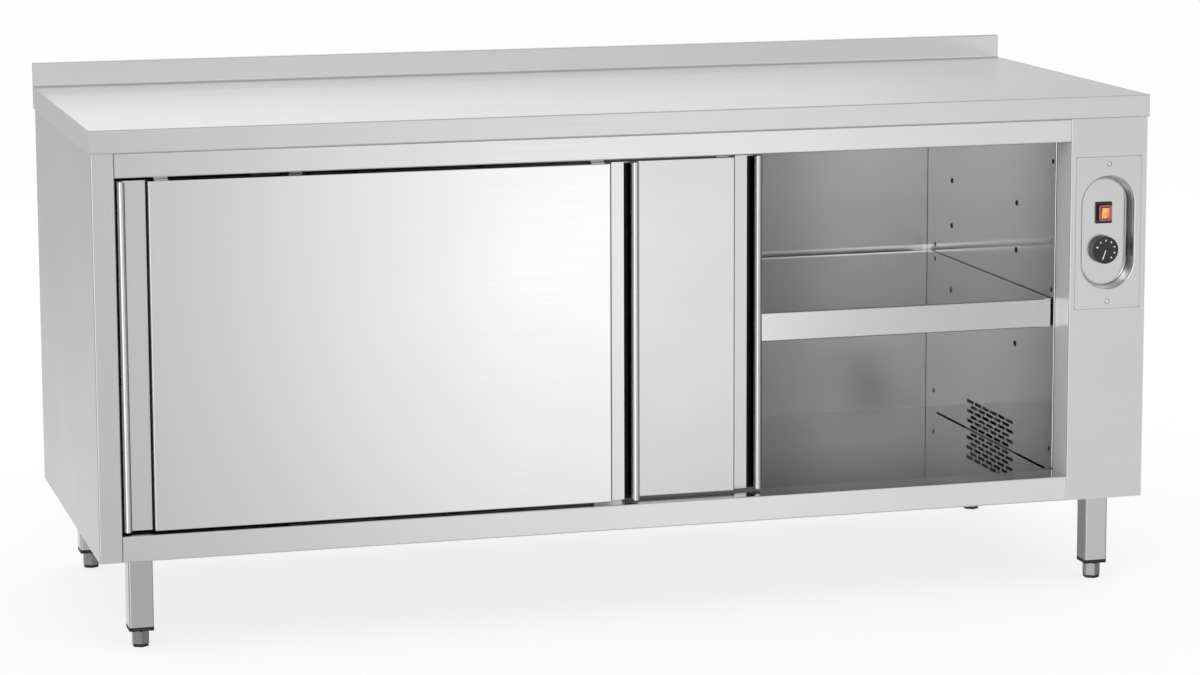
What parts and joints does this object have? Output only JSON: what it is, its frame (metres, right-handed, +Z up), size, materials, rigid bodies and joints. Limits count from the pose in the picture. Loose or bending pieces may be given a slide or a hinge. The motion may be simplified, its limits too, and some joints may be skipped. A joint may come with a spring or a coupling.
{
  "type": "plate warmer cabinet",
  "caption": "Stainless heated cupboard with worktop, rear upstand, two hanging sliding doors, lift-off shelf and control column on levelling legs.",
  "frame": {"origin": "bottom centre of the cabinet on the floor, under the middle of the worktop", "axes": "+X along the front from the door end to the control column, +Y from the front to the back, +Z up"},
  "size_m": [1.8, 0.7, 0.892],
  "materials": {
    "worktop_steel": "satin, with a soft mirror of the upstand",
    "body_steel": "fine brushed satin",
    "inner_steel": "bright, nearly mirror",
    "leg_steel": "bright satin tube",
    "screw_steel": "bright turned",
    "zinc_steel": "zinc plated, dull",
    "foot_zinc": "zinc plated, satin",
    "heater_tube": "heat-tinted",
    "copper": "drawn",
    "spindle_brass": "turned",
    "black_plastic": "satin black",
    "cap_plastic": "matt black",
    "roller_nylon": "white nylon",
    "red_lens": "clear red, lit from inside",
    "core_board": "chipboard",
    "mineral_wool": "pressed fibre board"
  },
  "bodies": {
    "cabinet": {"worktop": "worktop_steel", "worktop_core": "core_board", "left_side_panel": "body_steel", "right_side_panel": "body_steel", "control_fascia": "body_steel", "top_rail": "body_steel", "bottom_rail": "body_steel", "base_pan": "zinc_steel", "back_panel": "zinc_steel", "service_cover": "zinc_steel", "inner_back": "inner_steel", "inner_left_wall": "inner_steel", "inner_right_wall": "inner_steel", "inner_floor": "inner_steel", "inner_ceiling": "inner_steel", "insulation_boards": "mineral_wool", "door_track": "zinc_steel", "door_guides": "roller_nylon", "track_stops": "cap_plastic", "control_plate": "body_steel", "plate_screws": "screw_steel", "switch_housing": "black_plastic", "thermostat_body": "zinc_steel", "sensor_bulb": "copper", "heater_element": "heater_tube", "fan_housing": "zinc_steel", "fan_motor": "zinc_steel", "terminal_block": "roller_nylon", "cable_gland": "cap_plastic", "leg_front_left": "leg_steel", "leg_front_right": "leg_steel", "leg_back_left": "leg_steel", "leg_back_right": "leg_steel", "leg_inserts": "cap_plastic", "shelf_inserts": "screw_steel", "shelf_studs": "screw_steel", "wall_rivets": "screw_steel"},
    "shelf": {"shelf": "inner_steel", "shelf_stiffeners": "inner_steel"},
    "fan_wheel": {"fan_wheel": "zinc_steel"},
    "control_knob": {"control_knob": "black_plastic", "thermostat_spindle": "spindle_brass"},
    "switch_rocker": {"switch_rocker": "red_lens"},
    "door_left": {"door_left_face": "body_steel", "door_left_grips": "inner_steel", "door_left_liner": "body_steel", "door_left_hangers": "zinc_steel"},
    "door_left_roller_a": {"door_left_roller_a": "roller_nylon"},
    "door_left_roller_b": {"door_left_roller_b": "roller_nylon"},
    "door_right": {"door_right_face": "body_steel", "door_right_grips": "inner_steel", "door_right_liner": "body_steel", "door_right_hangers": "zinc_steel"},
    "door_right_roller_a": {"door_right_roller_a": "roller_nylon"},
    "door_right_roller_b": {"door_right_roller_b": "roller_nylon"},
    "foot_front_left": {"foot_front_left": "foot_zinc"},
    "foot_front_right": {"foot_front_right": "foot_zinc"},
    "foot_back_left": {"foot_back_left": "foot_zinc"},
    "foot_back_right": {"foot_back_right": "foot_zinc"}
  },
  "joints": [
    {"name": "door_left_slide", "type": "slide", "parent": "cabinet", "child": "door_left", "axis": [1, 0, 0], "range_m": [0, 0.753]},
    {"name": "door_right_slide", "type": "slide", "parent": "cabinet", "child": "door_right", "axis": [1, 0, 0], "range_m": [-0.221, 0.532]},
    {"name": "door_left_roller_a_spin", "type": "hinge", "parent": "door_left", "child": "door_left_roller_a", "pos_m": [-0.7855, -0.3242, 0.7933], "axis": [0, 1, 0], "continuous": true},
    {"name": "door_left_roller_b_spin", "type": "hinge", "parent": "door_left", "child": "door_left_roller_b", "pos_m": [-0.0695, -0.3242, 0.7933], "axis": [0, 1, 0], "continuous": true},
    {"name": "door_right_roller_a_spin", "type": "hinge", "parent": "door_right", "child": "door_right_roller_a", "pos_m": [-0.5645, -0.2972, 0.7933], "axis": [0, 1, 0], "continuous": true},
    {"name": "door_right_roller_b_spin", "type": "hinge", "parent": "door_right", "child": "door_right_roller_b", "pos_m": [0.1515, -0.2972, 0.7933], "axis": [0, 1, 0], "continuous": true},
    {"name": "shelf_lift", "type": "slide", "parent": "cabinet", "child": "shelf", "axis": [0, 0, 1], "range_m": [0, 0.08]},
    {"name": "fan_spin", "type": "hinge", "parent": "cabinet", "child": "fan_wheel", "pos_m": [0.7948, 0.01025, 0.228], "axis": [0, 1, 0], "continuous": true},
    {"name": "knob_turn", "type": "hinge", "parent": "cabinet", "child": "control_knob", "pos_m": [0.828, -0.334, 0.5845], "axis": [0, 1, 0], "range_deg": [0, 270]},
    {"name": "rocker_tilt", "type": "hinge", "parent": "cabinet", "child": "switch_rocker", "pos_m": [0.828, -0.3325, 0.648], "axis": [1, 0, 0], "range_deg": [-16, 0]},
    {"name": "foot_front_left_adjust", "type": "slide", "parent": "cabinet", "child": "foot_front_left", "axis": [0, 0, -1], "range_m": [0, 0.05]},
    {"name": "foot_front_right_adjust", "type": "slide", "parent": "cabinet", "child": "foot_front_right", "axis": [0, 0, -1], "range_m": [0, 0.05]},
    {"name": "foot_back_left_adjust", "type": "slide", "parent": "cabinet", "child": "foot_back_left", "axis": [0, 0, -1], "range_m": [0, 0.05]},
    {"name": "foot_back_right_adjust", "type": "slide", "parent": "cabinet", "child": "foot_back_right", "axis": [0, 0, -1], "range_m": [0, 0.05]}
  ],
  "couplings": [
    {"joint": "door_left_roller_a_spin", "follows": "door_left_slide", "rad_per_m": 90.909},
    {"joint": "door_left_roller_b_spin", "follows": "door_left_slide", "rad_per_m": 90.909},
    {"joint": "door_right_roller_a_spin", "follows": "door_right_slide", "rad_per_m": 90.909},
    {"joint": "door_right_roller_b_spin", "follows": "door_right_slide", "rad_per_m": 90.909}
  ]
}
